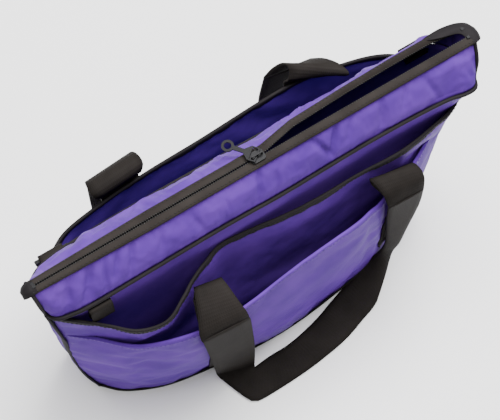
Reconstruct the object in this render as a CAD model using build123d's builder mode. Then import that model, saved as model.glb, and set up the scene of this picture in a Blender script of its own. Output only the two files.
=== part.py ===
from build123d import *
from math import cos, radians, sin
import os

# Zip-top document tote in nylon with webbing handles, in millimetres.
# +X runs along the bag towards the end where the zip stands open, -Y is the front, +Z is up.
# The origin is on the floor, under the middle of the zip.

os.makedirs("parts", exist_ok=True)

# Driving dimensions of the bag
BASE_HALF_LENGTH = 178.0
SEAM_HALF_LENGTH = 202.0
RIDGE_HALF_LENGTH = 208.0
SEAM_HEIGHT = 266.0
RIDGE_HEIGHT = 301.2
CLOTH = 1.6
STITCH_GAP = 0.4
WALL_FOOT = 2.0

# Half depths of the main compartment, at its foot and at the top seam
BODY_FOOT_DEPTH = 26.0
BODY_SEAM_DEPTH = 21.0

# Pockets: rim height, and how far the middle of each wall stands out at its foot and at its rim
DOCUMENT_RIM = 232.0
DOCUMENT_FOOT_DEPTH = 42.0
DOCUMENT_RIM_DEPTH = 42.0
OUTER_RIM = 198.0
OUTER_FOOT_DEPTH = 60.0
OUTER_RIM_DEPTH = 74.0
BACK_RIM = 225.0
BACK_FOOT_DEPTH = 46.0
BACK_RIM_DEPTH = 72.0
FLAT_SHARE = 0.68
BINDING_HEIGHT = 6.0
BINDING_THICKNESS = 2.2

# Zip
TAPE_THICKNESS = 0.8
TAPE_OUTER = 11.0
COIL_INNER = 0.7
COIL_OUTER = 2.9
COIL_HALF_HEIGHT = 0.9
GUSSET_TOP_DEPTH = 8.3
# Along the ridge: where the back edge stands away from the front edge, and by how much
OPEN_STATIONS = (
    (-RIDGE_HALF_LENGTH, 0.0),
    (8.0, 0.0),
    (40.0, 6.0),
    (90.0, 8.0),
    (135.0, 9.0),
    (175.0, 9.0),
    (RIDGE_HALF_LENGTH, 4.8),
)

# Slider and pull
SLIDER_HALF_LENGTH = 6.5
SLIDER_HALF_WIDTH = 5.0
SLIDER_PLATE = 1.0
SLIDER_CHANNEL = 1.4
SLIDER_FLANGE = 0.3
PULL_THICKNESS = 1.4
PULL_HEADING = 128.0
PULL_DROP = 3.0
PULL_PIVOT_HEIGHT = 305.4

# Webbing handles
WEBBING_WIDTH = 38.0
WEBBING = 2.2
LEG_SPACING = 188.0
ANCHOR_FOOT = 48.0
FRONT_PIVOT = (-79.6, 224.0)
BACK_PIVOT = (78.4, 242.0)

# Rings for a shoulder strap
RING_X = 176.0
RING_BAR = (31.0, 257.0)
RING_WIRE_RADIUS = 1.5
RING_HALF_WIDTH = 14.0
TAB_WIDTH = 22.0


def save(part, name):
    """Label one finished piece and write its STEP file."""
    part.label = name
    export_step(part, f"parts/{name}.step")


def half_length(height):
    """Half length of the bag's side walls at a height."""
    share = (height - WALL_FOOT) / (SEAM_HEIGHT - WALL_FOOT)
    return BASE_HALF_LENGTH + share * (SEAM_HALF_LENGTH - BASE_HALF_LENGTH)


def body_depth(height):
    """Half depth of the main compartment at a height, measured to its outer face."""
    share = (height - WALL_FOOT) / (SEAM_HEIGHT - WALL_FOOT)
    return BODY_FOOT_DEPTH + share * (BODY_SEAM_DEPTH - BODY_FOOT_DEPTH)


def between(height, foot_value, rim_value, rim):
    """Value on the straight line from a wall's foot to its rim."""
    share = (height - WALL_FOOT) / (rim - WALL_FOOT)
    return foot_value + share * (rim_value - foot_value)


def strip_outline(side, outer, thickness):
    """Closed outline of a strip: its outer points, then the same points one thickness inwards."""
    front = [(x, side * y) for x, y in outer]
    back = [(x, side * (y - thickness)) for x, y in reversed(outer)]
    return front + back


def wall_outer_points(height, layer, mid_depth):
    """Outer points of a pocket wall: ends sewn in the side seam, a flat middle standing out."""
    length = half_length(height)
    end_depth = body_depth(height) + layer * (CLOTH + STITCH_GAP)
    flat = FLAT_SHARE * length
    return [(-length, end_depth), (-flat, mid_depth), (flat, mid_depth), (length, end_depth)]


def sewn_wall(side, levels):
    """Loft a thin wall through outlines given as (height, outer points, thickness)."""
    with BuildPart() as wall:
        for height, outer, thickness in levels:
            with BuildSketch(Plane.XY.offset(height)):
                with BuildLine():
                    Polyline(*strip_outline(side, outer, thickness), close=True)
                make_face()
        loft(ruled=True)
    return wall.part


# --- Main compartment -------------------------------------------------------------------------

def body_levels():
    """Two levels of a main panel, at its foot and at the top seam."""
    levels = []
    for height in (WALL_FOOT, SEAM_HEIGHT):
        length = half_length(height)
        depth = body_depth(height)
        levels.append((height, [(-length, depth), (length, depth)], CLOTH))
    return levels


save(sewn_wall(-1, body_levels()), "main_front_panel")
save(sewn_wall(1, body_levels()), "main_back_panel")

END_TOP = 299.0
END_TOP_HALF_LENGTH = 206.0
END_TOP_HALF_DEPTH = 4.6


def end_panel(side):
    """End of the bag: slants out from the base to the seam, then narrows to the zip's end."""
    inset = CLOTH + STITCH_GAP
    levels = (
        (WALL_FOOT, BASE_HALF_LENGTH, BODY_FOOT_DEPTH - inset),
        (SEAM_HEIGHT, SEAM_HALF_LENGTH, BODY_SEAM_DEPTH - inset),
        (END_TOP, END_TOP_HALF_LENGTH, END_TOP_HALF_DEPTH),
    )
    with BuildPart() as panel:
        for height, length, depth in levels:
            with BuildSketch(Plane.XY.offset(height)):
                with Locations((side * (length - CLOTH / 2), 0)):
                    Rectangle(CLOTH, 2 * depth)
        loft(ruled=True)
    return panel.part


save(end_panel(-1), "left_end_panel")
save(end_panel(1), "right_end_panel")

# Bottom: one panel whose edge takes the pocket walls, and a stiffener inside the bag
BASE_FLAT = FLAT_SHARE * BASE_HALF_LENGTH
BASE_END_DEPTH = BODY_FOOT_DEPTH + 4.0


def base_edge(depth, spread=0.0):
    """Half of the bottom's edge, from the left end round one long side to the right end."""
    return [
        (-BASE_HALF_LENGTH, BASE_END_DEPTH + spread),
        (-BASE_FLAT, depth + spread),
        (BASE_FLAT, depth + spread),
        (BASE_HALF_LENGTH, BASE_END_DEPTH + spread),
    ]


with BuildPart() as bottom_panel:
    with BuildSketch():
        with BuildLine():
            front_edge = [(x, -y) for x, y in base_edge(OUTER_FOOT_DEPTH)]
            back_edge = [(x, y) for x, y in reversed(base_edge(BACK_FOOT_DEPTH))]
            Polyline(*front_edge, *back_edge, close=True)
        make_face()
    extrude(amount=CLOTH)
save(bottom_panel.part, "bottom_panel")

BOARD_THICKNESS = 2.5
BOARD_CLEARANCE = 2.6

with BuildPart() as base_board:
    with BuildSketch(Plane.XY.offset(WALL_FOOT)):
        RectangleRounded(
            2 * (BASE_HALF_LENGTH - BOARD_CLEARANCE),
            2 * (BODY_FOOT_DEPTH - BOARD_CLEARANCE),
            6.0,
        )
    extrude(amount=BOARD_THICKNESS)
save(base_board.part, "base_board")

BASE_BINDING_LOW = 0.4
BASE_BINDING_HEIGHT = 7.0
BASE_BINDING_SPREAD = 3.0

with BuildPart() as bottom_binding:
    for side, depth in ((-1, OUTER_FOOT_DEPTH), (1, BACK_FOOT_DEPTH)):
        with BuildSketch(Plane.XY.offset(BASE_BINDING_LOW)):
            with BuildLine():
                Polyline(*strip_outline(side, base_edge(depth, BASE_BINDING_SPREAD), CLOTH), close=True)
            make_face()
    extrude(amount=BASE_BINDING_HEIGHT)
save(bottom_binding.part, "bottom_binding")

# --- Pockets ----------------------------------------------------------------------------------


def pocket(side, layer, rim, foot_depth, rim_depth):
    """Pocket wall and the binding that finishes its rim."""
    cut = rim - BINDING_HEIGHT
    wall_levels = []
    for height in (WALL_FOOT, cut):
        depth = between(height, foot_depth, rim_depth, rim)
        wall_levels.append((height, wall_outer_points(height, layer, depth), CLOTH))
    binding_levels = []
    grow = (BINDING_THICKNESS - CLOTH) / 2
    for height in (cut + 0.2, rim):
        depth = between(height, foot_depth, rim_depth, rim)
        outer = [(x, y + grow) for x, y in wall_outer_points(height, layer, depth)]
        outer[0] = (outer[0][0], outer[0][1] - grow)
        outer[-1] = (outer[-1][0], outer[-1][1] - grow)
        binding_levels.append((height, outer, CLOTH))
    return sewn_wall(side, wall_levels), sewn_wall(side, binding_levels)


POCKETS = (
    ("front_document_pocket", -1, 1, DOCUMENT_RIM, DOCUMENT_FOOT_DEPTH, DOCUMENT_RIM_DEPTH),
    ("front_outer_pocket", -1, 2, OUTER_RIM, OUTER_FOOT_DEPTH, OUTER_RIM_DEPTH),
    ("back_pocket", 1, 1, BACK_RIM, BACK_FOOT_DEPTH, BACK_RIM_DEPTH),
)

for name, side, layer, rim, foot_depth, rim_depth in POCKETS:
    wall, binding = pocket(side, layer, rim, foot_depth, rim_depth)
    save(wall, name)
    save(binding, name + "_binding")

# Upright bindings over the four side seams
SIDE_BINDING_TOP = 262.0

with BuildPart() as side_bindings:
    for x_side in (-1, 1):
        for y_side in (-1, 1):
            for height in (BASE_BINDING_LOW + BASE_BINDING_HEIGHT + 0.4, SIDE_BINDING_TOP):
                x = x_side * (half_length(height) + 1.4)
                y = y_side * (body_depth(height) + 0.8)
                with BuildSketch(Plane.XY.offset(height)):
                    with Locations((x, y)):
                        Rectangle(2.0, 8.0)
            loft(ruled=True)
save(side_bindings.part, "side_bindings")

# --- Sloping top and zip ----------------------------------------------------------------------

CLOSED_STATIONS = ((-RIDGE_HALF_LENGTH, 0.0), (RIDGE_HALF_LENGTH, 0.0))


def ridge_strip(side, stations, inner, outer, scale=1.0):
    """Outline in plan of a strip along the ridge that stands away by each station's spread."""
    near = [(x * scale, side * (inner + spread)) for x, spread in stations]
    far = [(x * scale, side * (outer + spread)) for x, spread in stations]
    return near + list(reversed(far))


def top_gusset(side, stations):
    """One half of the sloping top, from the straight seam up to the edge of the zip tape."""
    scale = SEAM_HALF_LENGTH / RIDGE_HALF_LENGTH
    seam_outer = BODY_SEAM_DEPTH + 0.6
    with BuildPart() as gusset:
        for start, end in zip(stations, stations[1:]):
            seam = ridge_strip(side, [(start[0], 0.0), (end[0], 0.0)], seam_outer - CLOTH, seam_outer, scale)
            ridge = ridge_strip(side, [start, end], GUSSET_TOP_DEPTH - CLOTH, GUSSET_TOP_DEPTH)
            for height, outline in ((SEAM_HEIGHT + STITCH_GAP, seam), (RIDGE_HEIGHT - 0.8, ridge)):
                with BuildSketch(Plane.XY.offset(height)):
                    with BuildLine():
                        Polyline(*outline, close=True)
                    make_face()
            loft(ruled=True)
    return gusset.part


def ridge_extrusion(side, stations, inner, outer, half_height):
    """A strip along the ridge with straight sides, such as a tape or a coil."""
    with BuildPart() as strip:
        with BuildSketch(Plane.XY.offset(RIDGE_HEIGHT)):
            with BuildLine():
                Polyline(*ridge_strip(side, stations, inner, outer), close=True)
            make_face()
        extrude(amount=half_height, both=True)
    return strip.part


TAPE_INNER = COIL_OUTER + 0.2
COIL_HIGH = RIDGE_HEIGHT + COIL_HALF_HEIGHT

for name, side, stations in (("front", -1, CLOSED_STATIONS), ("back", 1, OPEN_STATIONS)):
    save(top_gusset(side, stations), "top_gusset_" + name)
    tape = ridge_extrusion(side, stations, TAPE_INNER, TAPE_OUTER, TAPE_THICKNESS / 2)
    save(tape, "zip_tape_" + name)
    coil = ridge_extrusion(side, stations, COIL_INNER, COIL_OUTER, COIL_HALF_HEIGHT)
    save(coil, "zip_coil_" + name)

# Piping in the top seams
PIPING_RADIUS = 1.6

for name, side in (("front", -1), ("back", 1)):
    with BuildPart() as piping:
        with BuildSketch(Plane.YZ.offset(-SEAM_HALF_LENGTH)):
            with Locations((side * (BODY_SEAM_DEPTH + 2.4), SEAM_HEIGHT)):
                Circle(PIPING_RADIUS)
        extrude(amount=2 * SEAM_HALF_LENGTH)
    save(piping.part, "seam_piping_" + name)

# Tabs that cover the zip's two ends
END_TAB_LENGTH = 8.0

for name, side, half_width in (("left", -1, 10.0), ("right", 1, 12.0)):
    with BuildPart() as end_tab:
        with BuildSketch(Plane.XY.offset(RIDGE_HEIGHT - 2.0)):
            with Locations((side * (RIDGE_HALF_LENGTH + 0.4 + END_TAB_LENGTH / 2), 0)):
                RectangleRounded(END_TAB_LENGTH, 2 * half_width, 3.0)
        extrude(amount=4.0)
    save(end_tab.part, "zip_end_tab_" + name)

# Stops: one across both coils at the closed end, one on each tape at the open end
STOP_X = 204.8
STOP_LENGTH = 2.6
STOP_LOW = COIL_HIGH + 0.2
STOP_HEIGHT = 1.2


def open_spread(x):
    """How far the back edge of the zip stands away from the front edge at a place along it."""
    for (start, low), (end, high) in zip(OPEN_STATIONS, OPEN_STATIONS[1:]):
        if start <= x <= end:
            return low + (high - low) * (x - start) / (end - start)
    return 0.0


with BuildPart() as zip_stops:
    with BuildSketch(Plane.XY.offset(STOP_LOW)):
        with Locations((-STOP_X, 0)):
            Rectangle(STOP_LENGTH, 5.0)
        with Locations((STOP_X, -1.8), (STOP_X, 1.8 + open_spread(STOP_X))):
            Rectangle(STOP_LENGTH, 2.4)
    extrude(amount=STOP_HEIGHT)
save(zip_stops.part, "zip_stops")

# --- Slider and pull --------------------------------------------------------------------------

SLIDER_TOP = RIDGE_HEIGHT + SLIDER_CHANNEL
SLIDER_LOW = RIDGE_HEIGHT - SLIDER_CHANNEL - SLIDER_PLATE
POST_WIDTH = 0.7
BRIDGE_HALF_LENGTH = 5.2
BRIDGE_HEIGHT = 4.4
BRIDGE_WIDTH = 1.4
BRIDGE_WIRE = 1.0

with BuildPart() as zip_slider:
    with BuildSketch(Plane.XY.offset(SLIDER_LOW)):
        RectangleRounded(2 * SLIDER_HALF_LENGTH, 2 * SLIDER_HALF_WIDTH, 2.5)
    extrude(amount=SLIDER_PLATE)
    with BuildSketch(Plane.XY.offset(SLIDER_TOP)):
        RectangleRounded(2 * SLIDER_HALF_LENGTH, 2 * SLIDER_HALF_WIDTH, 2.5)
    extrude(amount=SLIDER_PLATE)
    with BuildSketch(Plane.XY.offset(SLIDER_LOW)):
        with Locations((3.5, 0)):
            Rectangle(5.0, POST_WIDTH)
    extrude(amount=2 * (SLIDER_CHANNEL + SLIDER_PLATE))
    # Flanges that hold the coils in the channel, above and below the tapes
    for low in (SLIDER_LOW, SLIDER_TOP - SLIDER_FLANGE):
        with BuildSketch(Plane.XY.offset(low)):
            with Locations((0, -SLIDER_HALF_WIDTH + 0.5), (0, SLIDER_HALF_WIDTH - 0.5)):
                Rectangle(2 * SLIDER_HALF_LENGTH - 5.0, 1.0)
        extrude(amount=SLIDER_PLATE + SLIDER_FLANGE)
    # Bridge that carries the pull
    with BuildSketch(Plane.XZ.offset(-BRIDGE_WIDTH / 2)):
        with Locations((0, SLIDER_TOP + SLIDER_PLATE + BRIDGE_HEIGHT / 2)):
            Rectangle(2 * BRIDGE_HALF_LENGTH, BRIDGE_HEIGHT)
        with Locations((0, SLIDER_TOP + SLIDER_PLATE + (BRIDGE_HEIGHT - BRIDGE_WIRE) / 2)):
            Rectangle(2 * (BRIDGE_HALF_LENGTH - BRIDGE_WIRE), BRIDGE_HEIGHT - BRIDGE_WIRE, mode=Mode.SUBTRACT)
    extrude(amount=BRIDGE_WIDTH)
save(zip_slider.part, "zip_slider")

# The pull: a bar under the bridge, a window round it, a waist and a round ring
PULL_HALF_WIDTH = 6.4
PULL_WINDOW_HALF_WIDTH = 5.3
PULL_WINDOW_LENGTH = 4.5
PULL_BAR = 0.7
PULL_WAIST = 1.8
PULL_RING_PLACE = 25.0
PULL_RING_RADIUS = 5.2
PULL_RING_HOLE = 3.0

heading = radians(PULL_HEADING)
drop = radians(PULL_DROP)
pull_plane = Plane(
    origin=(0, 0, PULL_PIVOT_HEIGHT),
    x_dir=(cos(heading) * cos(drop), sin(heading) * cos(drop), -sin(drop)),
    z_dir=(cos(heading) * sin(drop), sin(heading) * sin(drop), cos(drop)),
)

with BuildPart() as zip_pull:
    with BuildSketch(pull_plane):
        with BuildLine():
            shoulder = PULL_BAR + PULL_WINDOW_LENGTH + 1.2
            half_outline = (
                (-PULL_BAR, PULL_HALF_WIDTH),
                (shoulder, PULL_HALF_WIDTH),
                (shoulder + 5.0, PULL_WAIST),
                (PULL_RING_PLACE, PULL_WAIST),
            )
            Polyline(*half_outline, *[(u, -v) for u, v in reversed(half_outline)], close=True)
        make_face()
        with Locations((PULL_RING_PLACE, 0)):
            Circle(PULL_RING_RADIUS)
            Circle(PULL_RING_HOLE, mode=Mode.SUBTRACT)
        with Locations((PULL_BAR + PULL_WINDOW_LENGTH / 2, 0)):
            Rectangle(PULL_WINDOW_LENGTH, 2 * PULL_WINDOW_HALF_WIDTH, mode=Mode.SUBTRACT)
    extrude(amount=PULL_THICKNESS / 2, both=True)
save(zip_pull.part, "zip_pull")

# --- Handles ----------------------------------------------------------------------------------

ANCHOR_GAP = 0.6
ANCHOR_TOP_BELOW_PIVOT = 2.5
ANCHOR_LEAN = 0.8
PIVOT_ROLL = 1.6
FLOOR_GAP = 0.4


def web_outline(side, faces, thickness):
    """Outline in the YZ plane of webbing that lies along the given inner face points."""
    inner = [(side * y, z) for y, z in faces]
    outer = [(side * (y + thickness), z) for y, z in reversed(faces)]
    return inner + outer


def handle_anchors(side, rim, foot_depth, rim_depth, pivot_height):
    """The two sewn ends of a handle: up the pocket's face and a little above its rim."""
    foot = between(ANCHOR_FOOT, foot_depth, rim_depth, rim) + ANCHOR_GAP
    crest = rim_depth + ANCHOR_GAP
    faces = [(foot, ANCHOR_FOOT), (crest, rim), (crest + ANCHOR_LEAN, pivot_height - ANCHOR_TOP_BELOW_PIVOT)]
    with BuildPart() as anchors:
        for x in (-LEG_SPACING / 2, LEG_SPACING / 2):
            with BuildSketch(Plane.YZ.offset(x - WEBBING_WIDTH / 2)):
                with BuildLine():
                    Polyline(*web_outline(side, faces, WEBBING), close=True)
                make_face()
            extrude(amount=WEBBING_WIDTH)
    return anchors.part


def leg_outline(side, pivot, foot):
    """Outline in the YZ plane of a leg that hangs from its pivot to its foot."""
    top_face = (side * pivot[0] - WEBBING / 2, pivot[1])
    foot_face = (foot[0] - WEBBING / 2, foot[1])
    return web_outline(side, [top_face, foot_face], WEBBING)


def hanging_legs(side, pivot, foot):
    """Two hanging legs, each with a rolled top edge at the pivot."""
    with BuildPart() as legs:
        for x in (-LEG_SPACING / 2, LEG_SPACING / 2):
            with BuildSketch(Plane.YZ.offset(x - WEBBING_WIDTH / 2)):
                with BuildLine():
                    Polyline(*leg_outline(side, pivot, foot), close=True)
                make_face()
                with Locations(pivot):
                    Circle(PIVOT_ROLL)
            extrude(amount=WEBBING_WIDTH)
    return legs.part


save(handle_anchors(-1, OUTER_RIM, OUTER_FOOT_DEPTH, OUTER_RIM_DEPTH, FRONT_PIVOT[1]), "front_handle_anchors")
save(handle_anchors(1, BACK_RIM, BACK_FOOT_DEPTH, BACK_RIM_DEPTH, BACK_PIVOT[1]), "back_handle_anchors")

# The front handle hangs down in front of the bag, and its grip lies flat on the floor
FRONT_FOOT_DEPTH = 100.0
FRONT_GRIP_INNER = 72.5
LOOP_LENGTH = LEG_SPACING + WEBBING_WIDTH

with BuildPart() as front_handle:
    add(hanging_legs(-1, FRONT_PIVOT, (FRONT_FOOT_DEPTH, FLOOR_GAP + WEBBING / 2)))
    with BuildSketch(Plane.XY.offset(FLOOR_GAP)):
        with Locations((0, -FRONT_GRIP_INNER - WEBBING_WIDTH / 2)):
            Rectangle(LOOP_LENGTH, WEBBING_WIDTH)
    extrude(amount=WEBBING)
save(front_handle.part, "front_handle")

# The back handle hangs straight down behind the bag
BACK_GRIP_LOW = 8.0
BACK_FOOT_DEPTH_OUT = 92.0
back_slope = (BACK_FOOT_DEPTH_OUT - BACK_PIVOT[0]) / (BACK_PIVOT[1] - BACK_GRIP_LOW)
BACK_GRIP_TOP_DEPTH = BACK_FOOT_DEPTH_OUT - back_slope * WEBBING_WIDTH

with BuildPart() as back_handle:
    add(hanging_legs(1, BACK_PIVOT, (BACK_FOOT_DEPTH_OUT, BACK_GRIP_LOW)))
    with BuildSketch(Plane.YZ.offset(-LOOP_LENGTH / 2)):
        with BuildLine():
            grip_faces = [
                (BACK_GRIP_TOP_DEPTH - WEBBING / 2, BACK_GRIP_LOW + WEBBING_WIDTH),
                (BACK_FOOT_DEPTH_OUT - WEBBING / 2, BACK_GRIP_LOW),
            ]
            Polyline(*web_outline(1, grip_faces, WEBBING), close=True)
        make_face()
    extrude(amount=LOOP_LENGTH)
save(back_handle.part, "back_handle")

# --- Rings and tabs ---------------------------------------------------------------------------

RING_RADIUS = RING_HALF_WIDTH + RING_WIRE_RADIUS
TAB_INNER_RADIUS = 2.6
TAB_OUTER_RADIUS = 4.4
TAB_TAIL_START = 22.0
TAB_TAIL_THICKNESS = 3.2

for name, side in (("left", -1), ("right", 1)):
    with BuildPart() as strap_ring:
        with BuildSketch(Plane.XZ.offset(-RING_BAR[0])):
            with Locations((side * RING_X, RING_BAR[1])):
                Circle(RING_RADIUS)
                Circle(RING_RADIUS - 2 * RING_WIRE_RADIUS, mode=Mode.SUBTRACT)
            with Locations((side * RING_X, RING_BAR[1] + RING_RADIUS / 2)):
                Rectangle(2 * RING_RADIUS, RING_RADIUS, mode=Mode.SUBTRACT)
            with Locations((side * RING_X, RING_BAR[1])):
                Rectangle(2 * RING_RADIUS, 2 * RING_WIRE_RADIUS)
        extrude(amount=RING_WIRE_RADIUS, both=True)
    save(strap_ring.part, "strap_ring_" + name)

    with BuildPart() as ring_tab:
        with BuildSketch(Plane.YZ.offset(side * RING_X - TAB_WIDTH / 2)):
            with Locations(RING_BAR):
                Circle(TAB_OUTER_RADIUS)
            with Locations(((TAB_TAIL_START + RING_BAR[0]) / 2, RING_BAR[1])):
                Rectangle(RING_BAR[0] - TAB_TAIL_START, TAB_TAIL_THICKNESS)
            with Locations(RING_BAR):
                Circle(TAB_INNER_RADIUS, mode=Mode.SUBTRACT)
        extrude(amount=TAB_WIDTH)
    save(ring_tab.part, "ring_tab_" + name)

# Folded webbing tab inside the left end of the document pocket
KEY_TAB_X = -165.0
KEY_TAB_LOW = 234.0
KEY_TAB_HIGH = 262.0

with BuildPart() as key_tab:
    with BuildSketch(Plane.XY.offset(KEY_TAB_LOW)):
        with Locations((KEY_TAB_X, -BODY_SEAM_DEPTH - 2.8)):
            Rectangle(20.0, 3.2)
    extrude(amount=KEY_TAB_HIGH - KEY_TAB_LOW)
save(key_tab.part, "key_tab")
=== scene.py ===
from math import cos, pi, radians, sin

import bpy
import numpy as np
from mathutils import Matrix, Vector


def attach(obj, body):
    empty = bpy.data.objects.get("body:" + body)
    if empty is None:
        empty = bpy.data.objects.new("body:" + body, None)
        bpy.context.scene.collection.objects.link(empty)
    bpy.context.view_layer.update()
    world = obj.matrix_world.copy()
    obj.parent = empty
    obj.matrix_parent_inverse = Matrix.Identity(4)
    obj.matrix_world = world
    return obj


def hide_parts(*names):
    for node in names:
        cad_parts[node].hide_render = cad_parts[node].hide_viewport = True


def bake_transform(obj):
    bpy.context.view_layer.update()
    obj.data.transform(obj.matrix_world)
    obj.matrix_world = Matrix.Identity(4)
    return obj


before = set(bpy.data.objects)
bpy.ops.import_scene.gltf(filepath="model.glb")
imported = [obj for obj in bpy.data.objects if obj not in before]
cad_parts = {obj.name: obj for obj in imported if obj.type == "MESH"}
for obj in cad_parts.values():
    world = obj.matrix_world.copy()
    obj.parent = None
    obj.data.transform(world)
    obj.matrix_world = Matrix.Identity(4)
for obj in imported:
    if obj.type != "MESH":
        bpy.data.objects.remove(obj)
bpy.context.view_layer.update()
scene = bpy.context.scene

# All places and lengths below are in millimetres in the shared frame, unless a name says otherwise.
MM = 0.001

# ---- Camera ----------------------------------------------------------------------------------

AZIMUTH = radians(-34.23)
ELEVATION = radians(69.23)
ROLL = radians(2.19)
DISTANCE = 1373.95
LOOK_AT = Vector((0, 0, 200))
SHIFT_RIGHT = -4.12
SHIFT_UP = -6.29
LENS = 115.2
SENSOR_WIDTH = 36
CLIP_END_M = 20


def add_camera():
    """The view from steeply above, a little to the left of the bag's front."""
    back = Vector((sin(AZIMUTH) * cos(ELEVATION), -cos(AZIMUTH) * cos(ELEVATION), sin(ELEVATION)))
    right = Vector((cos(AZIMUTH), sin(AZIMUTH), 0))
    up = back.cross(right)
    turned_right = right * cos(ROLL) + up * sin(ROLL)
    turned_up = up * cos(ROLL) - right * sin(ROLL)
    place = LOOK_AT + back * DISTANCE + turned_right * SHIFT_RIGHT + turned_up * SHIFT_UP
    data = bpy.data.cameras.new("camera")
    data.lens = LENS
    data.sensor_width = SENSOR_WIDTH
    data.clip_end = CLIP_END_M
    camera = bpy.data.objects.new("camera", data)
    rotation = Matrix((turned_right, turned_up, back)).transposed()
    camera.matrix_world = Matrix.Translation(place * MM) @ rotation.to_4x4()
    scene.collection.objects.link(camera)
    scene.camera = camera


add_camera()

# ---- Materials -------------------------------------------------------------------------------

MOTTLE_SCALE = 26.0
WEAR_SCALE = 180.0
SMOOTHEST = 0.8
ROUGHEST = 1.25


def new_material(name, color, roughness):
    """A Principled material and its shader node."""
    material = bpy.data.materials.new(name)
    material.use_nodes = True
    shader = material.node_tree.nodes["Principled BSDF"]
    shader.inputs["Base Color"].default_value = (*color, 1)
    shader.inputs["Roughness"].default_value = roughness
    return material, shader


def add_node(material, kind, **values):
    """A node in the material, with its properties and input values set."""
    node = material.node_tree.nodes.new(kind)
    for key, value in values.items():
        if hasattr(node, key):
            setattr(node, key, value)
        else:
            node.inputs[key.replace("_", " ")].default_value = value
    return node


def link(material, source, output, target, socket):
    """Join an output to an input by their names."""
    material.node_tree.links.new(source.outputs[output], target.inputs[socket])


def mottle(material, shader, light, dark, coordinate):
    """Vary the colour softly between two tones."""
    noise = add_node(material, "ShaderNodeTexNoise", Scale=MOTTLE_SCALE, Detail=3.0, Roughness=0.6)
    ramp = add_node(material, "ShaderNodeValToRGB")
    ramp.color_ramp.elements[0].position = 0.35
    ramp.color_ramp.elements[1].position = 0.65
    ramp.color_ramp.elements[0].color = (*dark, 1)
    ramp.color_ramp.elements[1].color = (*light, 1)
    link(material, coordinate, "Object", noise, "Vector")
    link(material, noise, "Fac", ramp, "Fac")
    link(material, ramp, "Color", shader, "Base Color")


def threads(material, coordinate, direction, pitch):
    """Parallel threads at a pitch in millimetres across one direction of the cloth."""
    wave = add_node(material, "ShaderNodeTexWave", bands_direction=direction, Scale=pi / (10 * pitch * MM))
    link(material, coordinate, "UV", wave, "Vector")
    return wave


def woven(name, light, dark, roughness, specular, pitches, strength, depth):
    """Cloth woven from two sets of threads, at two pitches, with soft colour variation."""
    material, shader = new_material(name, light, roughness)
    shader.inputs["Specular IOR Level"].default_value = specular
    coordinate = add_node(material, "ShaderNodeTexCoord")
    mottle(material, shader, light, dark, coordinate)
    warp = threads(material, coordinate, "X", pitches[0])
    weft = threads(material, coordinate, "Y", pitches[1])
    both = add_node(material, "ShaderNodeMath", operation="MULTIPLY")
    link(material, warp, "Fac", both, 0)
    link(material, weft, "Fac", both, 1)
    bump = add_node(material, "ShaderNodeBump", Strength=strength, Distance=depth * MM)
    link(material, both, "Value", bump, "Height")
    link(material, bump, "Normal", shader, "Normal")
    return material


def plain(name, color, roughness, specular=0.3):
    """A plain finish with slight wear in its roughness."""
    material, shader = new_material(name, color, roughness)
    shader.inputs["Specular IOR Level"].default_value = specular
    coordinate = add_node(material, "ShaderNodeTexCoord")
    noise = add_node(material, "ShaderNodeTexNoise", Scale=WEAR_SCALE, Detail=2.0)
    least, most = roughness * SMOOTHEST, roughness * ROUGHEST
    wear = add_node(material, "ShaderNodeMapRange", To_Min=least, To_Max=most)
    link(material, coordinate, "Object", noise, "Vector")
    link(material, noise, "Fac", wear, "Value")
    link(material, wear, "Result", shader, "Roughness")
    return material


NYLON = woven(
    "purple_nylon", (0.106, 0.037, 0.290), (0.074, 0.025, 0.225),
    roughness=0.42, specular=0.015, pitches=(0.9, 0.9), strength=0.25, depth=0.15,
)
# Inner face of the cloth: the same purple nylon painted darker, as painted shade inside the bag and its
# pockets.
SHADED_NYLON = woven(
    "shaded_purple_nylon", (0.085, 0.030, 0.28), (0.060, 0.020, 0.21),
    roughness=0.6, specular=0.1, pitches=(0.9, 0.9), strength=0.2, depth=0.1,
)
TAPE = woven(
    "black_tape", (0.022, 0.018, 0.016), (0.014, 0.011, 0.010),
    roughness=0.75, specular=0.1, pitches=(0.8, 1.2), strength=0.4, depth=0.15,
)
BINDING = woven(
    "black_binding", (0.012, 0.010, 0.011), (0.008, 0.007, 0.008),
    roughness=0.7, specular=0.12, pitches=(0.8, 1.2), strength=0.4, depth=0.15,
)
WEBBING = woven(
    "black_webbing", (0.0175, 0.0150, 0.0138), (0.0125, 0.0108, 0.0098),
    roughness=0.66, specular=0.03, pitches=(1.6, 3.0), strength=0.6, depth=0.3,
)
THREAD = plain("black_thread", (0.012, 0.011, 0.011), roughness=0.7)
PURPLE_THREAD = plain("purple_thread", (0.09, 0.045, 0.24), roughness=0.6)
COIL = plain("coil_plastic", (0.012, 0.012, 0.012), roughness=0.35)
METAL = plain("dark_metal", (0.009, 0.009, 0.010), roughness=0.3, specular=0.06)
BOARD = plain("board_plastic", (0.020, 0.016, 0.045), roughness=0.6)

# ---- Curves and grids ------------------------------------------------------------------------


def spaced(points, count):
    """Points at even distances along a line of points."""
    points = np.array(points, float)
    steps = np.linalg.norm(np.diff(points, axis=0), axis=1)
    length = np.concatenate([[0], np.cumsum(steps)])
    places = np.linspace(0, length[-1], count)
    return np.stack([np.interp(places, length, points[:, k]) for k in range(3)], axis=1)


def through(points, fine=14):
    """A smooth line that passes through the points."""
    points = np.array(points, float)
    before = 2 * points[0] - points[1]
    after = 2 * points[-1] - points[-2]
    padded = np.vstack([before, points, after])
    line = []
    for a, b, c, d in zip(padded, padded[1:], padded[2:], padded[3:]):
        for t in np.linspace(0, 1, fine, endpoint=False):
            line.append(0.5 * (2 * b + (c - a) * t + (2 * a - 5 * b + 4 * c - d) * t**2
                               + (3 * b - a - 3 * c + d) * t**3))
    line.append(points[-1])
    return np.array(line)


def curve(points, count):
    """Evenly spaced points on a smooth line through the given points."""
    return spaced(through(points), count)


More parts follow.
